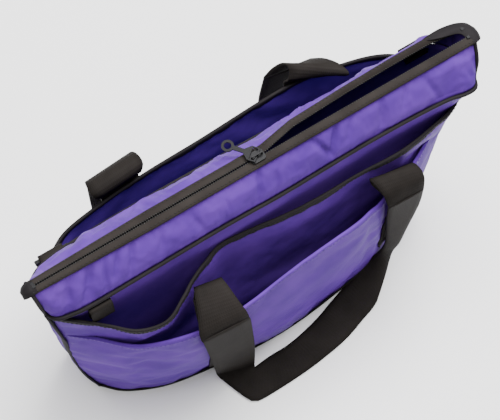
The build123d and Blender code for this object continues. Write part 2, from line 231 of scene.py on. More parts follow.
def loft(rows, across, up):
    """Grid of points through rows of control points, from the lowest row to the highest."""
    lines = [curve(row, across) for row in rows]
    if len(lines) == 2:
        columns = [spaced([a, b], up) for a, b in zip(*lines)]
    else:
        columns = [curve(column, up) for column in zip(*lines)]
    return np.array(columns).transpose(1, 0, 2)


def grid_normals(grid):
    """Unit normal at each point of a grid."""
    along = np.gradient(grid, axis=1)
    upward = np.gradient(grid, axis=0)
    normal = np.cross(along, upward)
    return normal / np.maximum(np.linalg.norm(normal, axis=2, keepdims=True), 1e-9)


def creased(grid, creases):
    """Press soft grooves into a grid: each is (place along, half width, depth, slant, foot, head)."""
    rows, columns = grid.shape[:2]
    upward = np.linspace(0, 1, rows)[:, None]
    along = grid[..., 0]
    push = np.zeros((rows, columns))
    for place, half_width, depth, slant, foot, head in creases:
        centre = place + slant * (upward - 0.5)
        share = np.clip((upward - foot) / (head - foot), 0, 1)
        push -= depth * np.sin(pi * share) * np.exp(-((along - centre) / half_width) ** 2)
    return grid + grid_normals(grid) * push[..., None]


def mesh_object(name, vertices, faces, uvs=None):
    """A mesh object from points in millimetres."""
    mesh = bpy.data.meshes.new(name)
    mesh.from_pydata([tuple(v) for v in np.array(vertices) * MM], [], faces)
    if uvs is not None:
        layer = mesh.uv_layers.new(name="cloth")
        for loop in mesh.loops:
            layer.data[loop.index].uv = uvs[loop.vertex_index]
    mesh.polygons.foreach_set("use_smooth", [True] * len(mesh.polygons))
    obj = bpy.data.objects.new(name, mesh)
    scene.collection.objects.link(obj)
    return obj


def grid_object(name, grid):
    """A mesh from a grid of points, with its cloth coordinates in metres."""
    rows, columns = grid.shape[:2]
    faces = []
    for i in range(rows - 1):
        for j in range(columns - 1):
            k = i * columns + j
            faces.append((k, k + 1, k + columns + 1, k + columns))
    along = np.linalg.norm(np.diff(grid[rows // 2], axis=0), axis=1)
    upward = np.linalg.norm(np.diff(grid[:, columns // 2], axis=0), axis=1)
    u = np.concatenate([[0], np.cumsum(along)]) * MM
    v = np.concatenate([[0], np.cumsum(upward)]) * MM
    uvs = [(u[j], v[i]) for i in range(rows) for j in range(columns)]
    return mesh_object(name, grid.reshape(-1, 3), faces, uvs)


def bake(obj):
    """Make the object's modifiers part of its mesh."""
    bpy.context.view_layer.update()
    depsgraph = bpy.context.evaluated_depsgraph_get()
    mesh = bpy.data.meshes.new_from_object(obj.evaluated_get(depsgraph))
    obj.modifiers.clear()
    obj.data = mesh


def thicken(obj, thickness, offset, outside, inside=None):
    """Give a sheet its thickness; offset is 1 towards its normals, -1 away and 0 for both ways."""
    obj.data.materials.append(outside)
    obj.data.materials.append(inside or outside)
    solid = obj.modifiers.new("thickness", "SOLIDIFY")
    solid.thickness = thickness * MM
    solid.offset = offset
    solid.use_even_offset = False
    solid.material_offset = 1
    solid.material_offset_rim = 0
    bake(obj)


CLOTH_FRAMES = 26
CLOTH_GRAVITY = 0.1


def settle(grid, name, spare, bending=0.4):
    """Let a sheet cut a little too large buckle between its four sewn edges, and return its points."""
    obj = grid_object(name, grid)
    rows, columns = grid.shape[:2]
    sewn = np.ones((rows, columns), bool)
    sewn[1:-1, 1:-1] = False
    group = obj.vertex_groups.new(name="sewn")
    group.add(np.flatnonzero(sewn).tolist(), 1.0, "REPLACE")
    cloth = obj.modifiers.new("cloth", "CLOTH")
    settings = cloth.settings
    settings.vertex_group_mass = "sewn"
    settings.quality = 8
    settings.mass = 0.002
    settings.air_damping = 4
    settings.tension_stiffness = 8
    settings.compression_stiffness = 8
    settings.shear_stiffness = 3
    settings.bending_stiffness = bending
    settings.shrink_min = -spare
    settings.shrink_max = -spare
    settings.effector_weights.gravity = CLOTH_GRAVITY
    cloth.collision_settings.use_collision = False
    cloth.point_cache.frame_start = 1
    cloth.point_cache.frame_end = CLOTH_FRAMES
    for number in range(1, CLOTH_FRAMES + 1):
        scene.frame_set(number)
    bake(obj)
    points = np.array([v.co for v in obj.data.vertices]).reshape(rows, columns, 3) / MM
    bpy.data.objects.remove(obj)
    scene.frame_set(1)
    return points


def tube(name, points, radius, sides=8, material=BINDING, flat=1.0):
    """A closed round tube along a line; flat squeezes its height."""
    points = np.array(points, float)
    tangent = np.gradient(points, axis=0)
    tangent /= np.linalg.norm(tangent, axis=1, keepdims=True)
    side = np.cross(tangent, (0, 0, 1))
    short = np.linalg.norm(side, axis=1) < 1e-3
    side[short] = (1, 0, 0)
    side /= np.linalg.norm(side, axis=1, keepdims=True)
    over = np.cross(side, tangent)
    vertices = []
    for p, s, o in zip(points, side, over):
        for k in range(sides):
            a = 2 * pi * k / sides
            vertices.append(p + radius * (s * cos(a) + o * sin(a) * flat))
    faces = []
    for i in range(len(points) - 1):
        for k in range(sides):
            a = i * sides + k
            b = i * sides + (k + 1) % sides
            faces.append((a, b, b + sides, a + sides))
    faces.append(tuple(reversed(range(sides))))
    faces.append(tuple(range(len(vertices) - sides, len(vertices))))
    obj = mesh_object(name, vertices, faces)
    obj.data.materials.append(material)
    return obj


def join(objects, name):
    """Several meshes as one piece."""
    for o in bpy.context.selected_objects:
        o.select_set(False)
    for o in objects:
        o.select_set(True)
    bpy.context.view_layer.objects.active = objects[0]
    bpy.ops.object.join()
    objects[0].name = name
    return objects[0]


STITCH_PITCH = 3.6
STITCH_RADIUS = 0.3


def stitches(name, line, material=THREAD):
    """A row of separate stitches along a line of points that lies on the cloth."""
    line = np.array(line, float)
    length = np.linalg.norm(np.diff(line, axis=0), axis=1).sum()
    places = spaced(line, 2 * max(2, int(length / STITCH_PITCH)))
    vertices = []
    faces = []
    for a, b in zip(places[0::2], places[1::2]):
        along = b - a
        side = np.cross(along, (0, 0, 1))
        side /= max(np.linalg.norm(side), 1e-6)
        over = np.cross(side, along)
        over /= max(np.linalg.norm(over), 1e-6)
        start = len(vertices)
        for p in (a, (a + b) / 2, b):
            lift = 0.3 if p is a or p is b else 1.0
            for s, o in ((-1, -1), (1, -1), (1, lift), (-1, lift)):
                vertices.append(p + STITCH_RADIUS * (s * side + o * over))
        for section in (0, 4):
            for k in range(4):
                q = start + section
                faces.append((q + k, q + (k + 1) % 4, q + (k + 1) % 4 + 4, q + k + 4))
        faces.append((start + 3, start + 2, start + 1, start))
        faces.append((start + 8, start + 9, start + 10, start + 11))
    obj = mesh_object(name, vertices, faces)
    obj.data.materials.append(material)
    return obj


def rim_strip(grid, height):
    """The part of a grid within a height of its top edge, as a grid of its own."""
    rows = grid.shape[0]
    column = grid[:, grid.shape[1] // 2]
    total = np.linalg.norm(np.diff(column, axis=0), axis=1).sum()
    strip = []
    for share in np.linspace(1 - height / total, 1, 4):
        place = share * (rows - 1)
        low = min(int(place), rows - 2)
        rest = place - low
        strip.append(grid[low] * (1 - rest) + grid[low + 1] * rest)
    return np.array(strip)


def finish_piece(obj, body, slot, *nodes):
    """Fix a piece to its body, and hide the CAD nodes it stands for; its slot is not used."""
    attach(obj, body)
    if nodes:
        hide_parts(*nodes)
    return obj


CLOTH_THICKNESS = 1.1


def cloth_piece(name, grid, nodes, flip=False):
    """A finished panel of purple nylon whose inner face is a darker copy of the nylon, painted shade; flip
    turns its nylon face to the other side.
    """
    obj = grid_object(name, grid[:, ::-1] if flip else grid)
    # The inner face gets the darker copy of the nylon, painted shade.
    thicken(obj, CLOTH_THICKNESS, -1, NYLON, SHADED_NYLON)
    finish_piece(obj, "bag", "purple_nylon", *nodes)
    return obj


# ---- Main compartment ------------------------------------------------------------------------

# Height, left end, right end, front corner, back corner, front middle, back middle
BODY_LEVELS = (
    (2.5, -180, 172, -14, 30, -32, 36),
    (60, -190, 181, -13, 30, -34, 38),
    (130, -196, 186, -12, 28, -33, 36),
    (200, -199, 189, -14, 26, -29, 30),
)
FRONT_SEAM = (
    (-205, -11, 264), (-200, -19.5, 264.5), (-188, -23, 265), (-162, -25, 266), (-54, -24, 266),
    (11, -25, 266), (100, -24, 266), (166, -26.5, 266), (188, -30.5, 265.5), (199, -29, 264.5),
    (204, -20, 264),
)
BACK_SEAM = (
    (-205, 10, 264), (-198, 18, 265), (-180, 24, 266), (-130, 27, 266), (-40, 27, 266),
    (40, 26, 266), (120, 26, 266), (180, 25, 266), (196, 19, 265), (203, 10, 264),
)
# Points along a panel and up it
PANEL_ACROSS = 60
PANEL_UP = 30
# Where a panel turns: in from its corner, as a share of its depth, and half the length of its flat middle
TURN_INSET = 26
TURN_SHARE = 0.6
FLAT_HALF = 70
# Half the length of the zip, and the height of its coils
RIDGE = 208
RIDGE_TOP = 301.2
# Place along the zip, and how far its back edge stands open there
OPEN_STATIONS = ((-208, 0), (8, 0), (40, 6), (90, 8), (135, 9), (175, 9), (208, 4.8))


def open_spread(x):
    """How far the back edge of the zip stands away from the front edge at a place along it."""
    places, spreads = zip(*OPEN_STATIONS)
    return float(np.interp(x, places, spreads))


def side_rows(side):
    """Rows of control points of the main front or back panel."""
    rows = []
    for height, left, right, front_corner, back_corner, front, back in BODY_LEVELS:
        corner, middle = (front_corner, front) if side < 0 else (back_corner, back)
        turn = corner + TURN_SHARE * (middle - corner)
        half = (left + right) / 2
        rows.append([
            (left, corner, height), (left + TURN_INSET, turn, height),
            (half - FLAT_HALF, middle, height), (half + FLAT_HALF, middle, height),
            (right - TURN_INSET, turn, height), (right, corner, height),
        ])
    rows.append([(x, y, z - 0.5) for x, y, z in (FRONT_SEAM if side < 0 else BACK_SEAM)])
    return rows


front_panel = loft(side_rows(-1), PANEL_ACROSS, PANEL_UP)
back_panel = loft(side_rows(1), PANEL_ACROSS, PANEL_UP)
cloth_piece("main_front_cloth", front_panel, ["main_front_panel"])
cloth_piece("main_back_cloth", back_panel, ["main_back_panel"], flip=True)

# ---- Pockets ---------------------------------------------------------------------------------

POCKET_ACROSS = 110
POCKET_UP = 56
POCKET_FOOT = 3
OUTER_FOOT = (
    (-181, -15), (-162, -33), (-126, -49), (-80, -57), (-33, -62), (17, -62), (87, -53),
    (125, -42), (158, -26), (173, -15),
)
OUTER_MIDDLE = (
    (-196.5, -13), (-174, -36), (-138, -58), (-92, -70), (-45, -73), (5, -71), (80, -61),
    (125, -48), (160, -31), (187, -15),
)
OUTER_RIM = (
    (-199.5, -14, 201), (-179, -31, 199), (-147, -58, 197), (-99, -73, 197), (-60, -75, 198), (3, -68, 199),
    (80, -61, 200), (130, -45, 200), (165, -28, 202), (188.5, -17, 204),
)
DOCUMENT_FOOT = ((-179, -14), (-120, -36), (-60, -44), (0, -46), (60, -44), (120, -33), (171, -14))
DOCUMENT_MIDDLE = (
    (-194, -12.5), (-150, -43), (-120, -48), (-60, -45), (0, -44), (80, -41), (140, -31), (165, -23),
    (185, -14.5),
)
DOCUMENT_RIM = (
    (-202, -17, 258), (-187, -27, 252), (-166, -40, 237), (-146, -54, 228), (-122, -60, 230),
    (-100, -50, 234), (-88, -43, 236), (-70, -35, 237), (-46, -29, 238), (20, -36, 237), (80, -37, 237),
    (123, -38.5, 238), (160, -33.5, 237.5), (178, -30, 238.5), (190, -24, 240), (198.2, -16.8, 242),
)
BACK_FOOT = ((-178, 31), (-120, 44), (-60, 48), (0, 49), (60, 48), (120, 44), (171, 31))
BACK_MIDDLE = ((-193, 29.5), (-150, 47), (-75, 58), (0, 61), (75, 61), (150, 50), (184, 29.5))
BACK_RIM = (
    (-200.5, 27, 222), (-172, 45, 222), (-146, 57, 221), (-80, 65, 220), (-14, 67, 221), (76, 70, 222),
    (130, 62, 222), (166, 50, 222), (191, 27.5, 224),
)


def at_height(points, height):
    """Plan points raised to a height."""
    return [(x, y, height) for x, y in points]


def wrinkle_feet(seed):
    """Small creases where a pocket is gathered into its bottom seam."""
    creases = []
    for k in range(9):
        place = -150 + 37 * k + 9 * sin(seed + 2.1 * k)
        slant = 14 * sin(seed + k)
        creases.append((place, 5, 1.2, slant, -0.1, 0.4))
    return creases


def pocket(name, foot, middle, middle_height, rim, creases):
    """Grid of a pocket wall that hangs from its ends and its bottom seam."""
    rows = [at_height(foot, POCKET_FOOT), at_height(middle, middle_height), rim]
    wall = loft(rows, POCKET_ACROSS, POCKET_UP)
    return creased(settle(wall, name, spare=0.006, bending=3.0), creases)


# Place along, half width, depth, slant, foot, head
OUTER_CREASES = [
    (-150, 9, 2.5, 30, 0.3, 1.0), (90, 8, 3.5, -20, 0.0, 1.1), (112, 9, 4.5, -24, 0.0, 1.1),
    (146, 9, 2.5, -20, 0.1, 0.9),
]
outer_wall = pocket("outer", OUTER_FOOT, OUTER_MIDDLE, 100, OUTER_RIM, OUTER_CREASES + wrinkle_feet(0.3))
document_wall = pocket("document", DOCUMENT_FOOT, DOCUMENT_MIDDLE, 120, DOCUMENT_RIM, wrinkle_feet(1.7))
back_wall = pocket("back", BACK_FOOT, BACK_MIDDLE, 115, BACK_RIM, wrinkle_feet(3.1))
cloth_piece("outer_pocket_cloth", outer_wall, ["front_outer_pocket"])
cloth_piece("document_pocket_cloth", document_wall, ["front_document_pocket"])
cloth_piece("back_pocket_cloth", back_wall, ["back_pocket"], flip=True)


RIM_THICKNESS = 2.5
RIM_RISE = 0.9
RIM_STITCH_LIFT = 1.35


def rim_binding(name, wall, node, material, slot, height, thread):
    """Tape folded over a pocket's rim, with its row of stitches."""
    strip = rim_strip(wall, height)
    normals = grid_normals(strip)
    strip = strip - normals * CLOTH_THICKNESS / 2
    strip[-1] += (0, 0, RIM_RISE)
    obj = grid_object(name, strip)
    thicken(obj, RIM_THICKNESS, 0, material)
    finish_piece(obj, "bag", slot, node)
    row = stitches(name + "_stitches", strip[1] + normals[1] * RIM_STITCH_LIFT, thread)
    finish_piece(row, "bag", slot)


rim_binding(
    "document_binding_tape", document_wall, "front_document_pocket_binding",
    BINDING, "black_tape", 5.5, THREAD,
)
rim_binding("outer_hem", outer_wall, "front_outer_pocket_binding", NYLON, "purple_nylon", 6.0, PURPLE_THREAD)
rim_binding(
    "back_binding_tape", back_wall[:, ::-1], "back_pocket_binding", BINDING, "black_tape", 5.5, THREAD,
)

# Bottom, and the tape round its edge
BOTTOM_HEIGHT = 1.4
BOTTOM_ACROSS = 80
bottom_edges = [curve(at_height(foot, BOTTOM_HEIGHT), BOTTOM_ACROSS) for foot in (OUTER_FOOT, BACK_FOOT)]
bottom = loft(bottom_edges, BOTTOM_ACROSS, 12)
cloth_piece("bottom_cloth", bottom, ["bottom_panel"], flip=True)

# Height and push outward of the lower and the upper edge of the tape
FOOT_TAPE_EDGES = ((0.8, 0.8), (7.0, 1.8))
FOOT_TAPE_THICKNESS = 1.6


def foot_binding():
    """Tape over the seams between the walls and the bottom."""
    sides = (
        ("front", OUTER_FOOT, (0, -1, 0)), ("back", BACK_FOOT, (0, 1, 0)),
        ("left", (OUTER_FOOT[0], BACK_FOOT[0]), (-1, 0, 0)),
        ("right", (OUTER_FOOT[-1], BACK_FOOT[-1]), (1, 0, 0)),
    )
    strips = []
    for name, line, outward in sides:
        edges = [
            np.array(at_height(line, height), float) + push * np.array(outward)
            for height, push in FOOT_TAPE_EDGES
        ]
        strip = grid_object("foot_" + name, loft(edges, BOTTOM_ACROSS, 4))
        thicken(strip, FOOT_TAPE_THICKNESS, 0, BINDING)
        strips.append(strip)
    return join(strips, "bottom_binding_tape")


finish_piece(foot_binding(), "bag", "black_tape", "bottom_binding")

# Tapes over the side seams
CORNER_RADIUS = 2.4
CORNER_FLATTENING = 0.55


def corner_binding():
    """Narrow tapes over the four upright seams, up to the top seam."""
    strips = []
    for panel, push in ((front_panel, -1.6), (back_panel, 1.6)):
        for column, side in ((0, -1), (-1, 1)):
            line = panel[:, column] + (side * 0.8, push, 0)
            tape = tube(f"corner_{side}_{push}", spaced(line, 40), CORNER_RADIUS, flat=CORNER_FLATTENING)
            strips.append(tape)
    return join(strips, "side_binding_tapes")


finish_piece(corner_binding(), "bag", "black_tape", "side_bindings")

# ---- Sloping top -----------------------------------------------------------------------------

TOP_ACROSS = 230
TOP_UP = 20
TAPE_WIDTH = 8.2
# Opening past which the back tape hangs fully, and how far it then drops and leans back
FULL_OPENING = 8
TAPE_DROP = 4.5
TAPE_LEAN = 2.2
# Edge of the cloth under the tape: depth from the zip's middle, and height
TOP_EDGE = (4.6, 300.0)
# Share of the way from the seam to the zip, and how far the cloth bulges there
TOP_PROFILE = ((0, 0), (0.3, 2.6), (0.65, 2.4), (1, 0))
SEAM_RISE = 1.2


def narrowed(depth, x):
    """Depth on the tape from the zip's middle, where less of its width shows towards the left end."""
    hidden = float(np.interp(x, (-RIDGE, -100), (0.3, 0.0)))
    return depth * (1 - hidden * depth / TAPE_WIDTH)


def tape_line(side, depth, height, count=200):
    """Line along a zip tape; where the back one stands open, it hangs into the mouth."""
    points = []
    for x in np.linspace(-RIDGE, RIDGE, count):
        spread = open_spread(x) if side > 0 else 0.0
        hang = min(spread / FULL_OPENING, 1) * (TAPE_WIDTH - depth) / TAPE_WIDTH
        y = narrowed(depth, x) + spread + TAPE_LEAN * hang
        points.append((x, side * y, height - TAPE_DROP * hang))
    return points


def top_half(side, seam, creases, spare):
    """One half of the sloping top, from its seam to the edge of the zip tape."""
    low = curve([(x, y, z + SEAM_RISE) for x, y, z in seam], TOP_ACROSS)
    high = np.array(tape_line(side, *TOP_EDGE, TOP_ACROSS))
    rows = []
    for share, bulge in TOP_PROFILE:
        row = low * (1 - share) + high * share
        rows.append(row + (0, side * bulge, bulge * 0.6))
    columns = [curve(column, TOP_UP) for column in zip(*rows)]
    grid = np.array(columns).transpose(1, 0, 2)
    return creased(settle(grid, f"top_{side}", spare, bending=0.25), creases)


FRONT_CREASES = [
    (-184, 4.5, 4.5, 14, 0.0, 1.0), (-166, 5.0, 5.5, 18, 0.0, 1.0), (-151, 2.6, 3.2, 10, 0.0, 0.9),
    (-142, 2.6, 3.2, 20, 0.2, 1.0), (-127, 3.0, 3.0, 16, 0.1, 1.0), (-100, 2.5, 2.0, 14, 0.2, 0.9),
    (-66, 3, 2.0, -8, 0.0, 0.9), (-8, 2.6, 3.0, 12, 0.0, 1.0), (8, 2.2, 1.6, 8, 0.0, 0.7),
    (54, 3.0, 4.4, -16, 0.1, 1.0), (64, 3.0, 4.4, 18, 0.1, 1.0), (78, 2.4, 1.8, 20, 0.3, 1.0),
    (112, 3, 2.6, 8, 0.1, 1.0), (133, 2.4, 1.8, 14, 0.2, 1.0), (160, 3, 2.8, -12, 0.0, 1.0),
]
BACK_CREASES = [
    (-150, 5, 2.0, -10, 0.0, 1.0), (-90, 4, 1.6, 12, 0.1, 1.0), (-20, 5, 2.0, 8, 0.0, 1.0),
    (60, 7, 3.0, 20, 0.1, 1.1), (120, 7, 2.6, -18, 0.0, 1.1), (180, 6, 2.4, 10, 0.0, 1.0),
]
front_top = top_half(-1, FRONT_SEAM, FRONT_CREASES, spare=0.012)
back_top = top_half(1, BACK_SEAM, BACK_CREASES, spare=0.022)
cloth_piece("top_front_cloth", front_top, ["top_gusset_front"])
cloth_piece("top_back_cloth", back_top, ["top_gusset_back"], flip=True)

# Ends of the bag, from the floor up to the ends of the zip
END_ACROSS = 16
END_UP = 60


def end_rows(side):
    """Rows of control points of an end panel, from the floor to the end of the zip."""
    column = 0 if side < 0 else -1
    pairs = [(front_panel[k, column], back_panel[k, column], 2.5) for k in range(0, PANEL_UP, 4)]
    pairs += [(front_top[k, column], back_top[k, column], 1.0) for k in range(0, TOP_UP, 3)]
    pairs.append((front_top[-1, column], back_top[-1, column], 0.5))
    return [[front, (front + back) / 2 + (side * bulge, 0, 0), back] for front, back, bulge in pairs]


left_end = settle(loft(end_rows(-1), END_ACROSS, END_UP), "left_end", spare=0.02)
right_end = settle(loft(end_rows(1), END_ACROSS, END_UP), "right_end", spare=0.02)
cloth_piece("left_end_cloth", left_end, ["left_end_panel"], flip=True)
cloth_piece("right_end_cloth", right_end, ["right_end_panel"])

PIPING_RADIUS = 1.7
PIPING_PUSH = 1.6


def seam_piping(name, seam, top, side):
    """Piping in a top seam, which turns up towards the zip at both ends."""
    push = side * PIPING_PUSH
    upturn = [top[row, 0] + (-1.0, push / 2, 0) for row in (18, 13, 8)]
    last = [top[row, -1] + (1.0, push / 2, 0) for row in (8, 13, 18)]
    line = curve(upturn + [(x, y + push, z + 0.2) for x, y, z in seam] + last, 160)
    piping = tube(f"piping_{name}", line, PIPING_RADIUS, sides=10)
    finish_piece(piping, "bag", "black_tape", "seam_piping_" + name)


seam_piping("front", FRONT_SEAM, front_top, -1)
seam_piping("back", BACK_SEAM, back_top, 1)

# Zip tapes, coils and their stitching; rows give a depth from the zip's middle and a height
TAPE_ROWS = ((0.7, 301.3), (3.2, 301.4), (6.0, 300.9), (TAPE_WIDTH, 299.6))
TAPE_STITCH_ROW = (6.4, 301.3)
TAPE_THICKNESS = 0.8
COIL_PITCH = 2
POINTS_PER_TURN = 6
COIL_DEPTH = 1.0
COIL_HALF_WIDTH = 0.7
COIL_HALF_HEIGHT = 0.6
COIL_WIRE_RADIUS = 0.42


def zip_tape(name, side):
    """Woven tape that slopes down over the edge of the top cloth."""
    grid = loft([tape_line(side, depth, height) for depth, height in TAPE_ROWS], 190, 8)
    if side > 0:
        grid = grid[:, ::-1]
    obj = grid_object("tape_cloth_" + name, grid)
    thicken(obj, TAPE_THICKNESS, 0, TAPE)
    finish_piece(obj, "bag", "black_tape", "zip_tape_" + name)
    row = stitches(f"tape_stitches_{name}", tape_line(side, *TAPE_STITCH_ROW))
    finish_piece(row, "bag", "black_tape")


def zip_coil(name, side):
    """The wound coil along one tape's edge."""
    turns = 2 * RIDGE // COIL_PITCH
    points = []
    for k, (x, y, z) in enumerate(tape_line(side, COIL_DEPTH, RIDGE_TOP, turns * POINTS_PER_TURN)):
        angle = 2 * pi * k / POINTS_PER_TURN
        points.append((x, y + side * COIL_HALF_WIDTH * cos(angle), z + COIL_HALF_HEIGHT * sin(angle)))
    obj = tube("coil_loops_" + name, points, COIL_WIRE_RADIUS, sides=5, material=COIL)
    finish_piece(obj, "bag", "coil_plastic", "zip_coil_" + name)


for name, side in (("front", -1), ("back", 1)):
    zip_tape(name, side)
    zip_coil(name, side)

# Rows across the tape folded over each end of the zip: place along, slant, front, back, height
LEFT_END = (
    (-204, 0, -6.0, 6.0, 302.0), (-209, 0, -6.2, 6.2, 301.6), (-213, 0, -5.2, 5.2, 299.2),
    (-215.5, 0, -3.2, 3.2, 295.5),
)
RIGHT_END = (
    (203.6, 34, -8.2, 17.2, 300.6), (205, 26, -8.6, 18.2, 301.4), (207.5, 17, -8.8, 18.0, 302.0),
    (210.5, 8, -8.4, 15.6, 302.2), (213.5, 2, -7.2, 11.6, 301.0), (216.2, 0, -4.6, 7.4, 297.0),
)
END_TAB_THICKNESS = 1.0


def end_tab(name, sections, slump):
    """Tape folded over an end of the zip, from one half to the other, and hanging at its edges."""
    # Share of the way across, share of the slant, rise
    profile = ((0, 0, -slump), (0.25, 0, 0), (0.55, 0.1, 0.4), (0.75, 0.6, 0), (1, 1, -slump))
    rows = []
    for x, slant, front, back, height in sections:
        rows.append([
            (x - slant * lag, front * (1 - share) + back * share, height + rise)
            for share, lag, rise in profile
        ])
    grid = loft(rows, 24, 24)
    if grid_normals(grid)[:, :, 2].mean() < 0:
        grid = grid[:, ::-1]
    obj = grid_object("end_tab_" + name, grid)
    thicken(obj, END_TAB_THICKNESS, 0, BINDING)
    finish_piece(obj, "bag", "black_tape", "zip_end_tab_" + name)


end_tab("left", LEFT_END, slump=2.4)
end_tab("right", RIGHT_END, slump=2.2)

# ---- Webbing ---------------------------------------------------------------------------------

WEB_THICKNESS = 2.0
WEB_ACROSS = 7
# Rows of the webbing's grid between which its stitched box lies, and the box's inset as a share of the width
BOX_ROWS = (1, 8)
BOX_INSET = 0.12
# How far the middle of sewn webbing stands off its wall
SEWN_LIFT = 1.6
CREST_STEP = 3


def ribbon_grid(sections, cup=0.0, step=5.0):
    """Grid of webbing through pairs of edge points; cup bows the webbing across its width."""
    left = through([a for a, _ in sections])
    right = through([b for _, b in sections])
    middle = (left + right) / 2
    length = np.concatenate([[0], np.cumsum(np.linalg.norm(np.diff(middle, axis=0), axis=1))])
    places = np.linspace(0, length[-1], max(6, int(length[-1] / step)))
    a, b = (
        np.stack([np.interp(places, length, edge[:, k]) for k in range(3)], axis=1)
        for edge in (left, right)
    )
    grid = np.array([a * (1 - t) + b * t for t in np.linspace(0, 1, WEB_ACROSS)]).transpose(1, 0, 2)
    if cup:
        bow = np.sin(np.linspace(0, pi, WEB_ACROSS))[None, :, None]
        grid = grid + grid_normals(grid) * bow * cup
    return grid


def web_object(name, grid):
    """Thick webbing from a grid."""
    obj = grid_object(name, grid)
    thicken(obj, WEB_THICKNESS, 0, WEBBING)
    return obj


def sewn_box(name, grid):
    """A stitched box with a cross near the foot of sewn webbing."""
    lifted = grid + grid_normals(grid) * (WEB_THICKNESS / 2 + 0.2)
    last = grid.shape[1] - 1
    foot, head = BOX_ROWS
    near, far = BOX_INSET * last, (1 - BOX_INSET) * last
    corners = [(foot, near), (foot, far), (head, far), (head, near)]
    pairs = [(corners[k], corners[(k + 1) % 4]) for k in range(4)]
    pairs += [(corners[0], corners[2]), (corners[1], corners[3])]
    rows = []
    for k, (a, b) in enumerate(pairs):
        line = []
        for i, j in np.linspace(a, b, 12):
            row, column = min(int(i), grid.shape[0] - 2), min(int(j), last - 1)
            up, over = i - row, j - column
            low = lifted[row, column] * (1 - over) + lifted[row, column + 1] * over
            high = lifted[row + 1, column] * (1 - over) + lifted[row + 1, column + 1] * over
            line.append(low * (1 - up) + high * up)
        rows.append(stitches(f"{name}_{k}", line))
    finish_piece(join(rows, name), "bag", "black_webbing")


def on_wall(wall, x, z, lift):
    """Point just off a pocket wall, at a place along it and a height."""
    points = wall.reshape(-1, 3)
    distance = (points[:, 0] - x) ** 2 + (points[:, 2] - z) ** 2
    near = np.argsort(distance)[:4]
    weight = 1 / (distance[near] + 0.01)
    return (x, float((points[near, 1] * weight).sum() / weight.sum()) + lift, z)


def sewn_end(wall, lift, levels, free):
    """Webbing that is sewn flat on a wall, at (height, one edge, other edge), and then stands free."""
    sections = [(on_wall(wall, a, z, lift), on_wall(wall, b, z, lift)) for z, a, b in levels]
    grid = ribbon_grid(sections + free)
    head = levels[-1][0]
    for row in grid:
        for point in row:
            if point[2] < head:
                point[:] = on_wall(wall, point[0], point[2], lift)
    return grid


# Front handle: sewn ends, crests above the pocket's rim, legs to the floor, grip flat on the floor.
# Each section of webbing is a pair of points, one on each of its edges.
FRONT_LEFT_LEVELS = ((48, -89, -53), (85, -91, -55), (125, -93, -57), (165, -97, -61), (193, -99.5, -64))
FRONT_LEFT_FREE = [
    ((-100, -77.5, 204), (-66, -80, 205)), ((-99, -68, 215), (-68, -70, 216)),
    ((-94, -53, 222), (-67, -58, 223)),
]
FRONT_LEFT_CREST = [
    ((-94, -53, 222), (-67, -58, 223)), ((-89, -47, 224), (-65, -52, 226)),
    ((-89, -46.5, 227), (-65, -51.5, 229)), ((-92, -53, 228), (-64, -60, 229.5)),
    ((-97, -65, 225.5), (-63, -73, 226)), ((-104, -79, 219), (-61, -83, 219)),
    ((-105, -83.5, 213), (-60.5, -86.5, 212)),
]
FRONT_LEFT_LEG = [
    ((-105, -83.5, 213), (-60.5, -86.5, 212)), ((-103, -84, 200), (-59, -87, 200)),
    ((-93, -79, 110), (-52, -84, 110)), ((-84, -70, 30), (-47, -79, 30)), ((-81.5, -67, 9), (-46, -77.5, 8)),
    ((-80, -72, 2.8), (-46, -79, 3.0)),
]
FRONT_GRIP = [
    ((-75, -86, 2.4), (-45.5, -79.5, 2.6)), ((-70, -99, 2.2), (-44, -79.5, 2.4)),
    ((-63, -108.5, 2.2), (-40, -79, 2.4)), ((-43, -110, 2.2), (-27, -78, 2.4)),
    ((-7, -109, 2.2), (-9, -78, 2.4)), ((22, -106, 2.2), (11, -75, 2.4)), ((45, -102, 2.2), (32, -70, 2.4)),
    ((67, -95, 2.3), (56, -62, 2.6)), ((85, -89, 2.6), (79, -55, 3.2)), ((95, -82, 3), (100, -49, 7)),
    ((112, -67, 3.5), (112, -50, 22)), ((128, -53, 5), (114, -53, 40)),
]
FRONT_RIGHT_LEG = [
    ((128, -59, 50), (111, -57, 75)), ((126, -64, 105), (104, -61, 120)), ((130, -66, 165), (97, -64, 170)),
    ((128, -67.5, 209), (92, -67, 211)),
]
FRONT_RIGHT_LEVELS = ((48, 109, 145), (85, 109, 145), (125, 108, 144), (165, 105, 141), (194, 100, 135))
FRONT_RIGHT_FREE = [
    ((99, -63, 205), (132, -50, 205)), ((94, -57, 213), (130, -48, 213)), ((88, -46, 222), (126, -48, 222)),
]
FRONT_RIGHT_CREST = [
    ((126, -48, 222), (88, -46, 222)), ((128, -49, 226), (88, -42, 225)),
    ((129, -54, 228.5), (87.5, -43.5, 228)), ((130, -59, 227), (89, -50, 227)),
    ((129.5, -64, 222), (91, -60, 222)), ((128, -67.5, 209), (92, -67, 211)),
]
FRONT_GRIP_CUP = 0.8

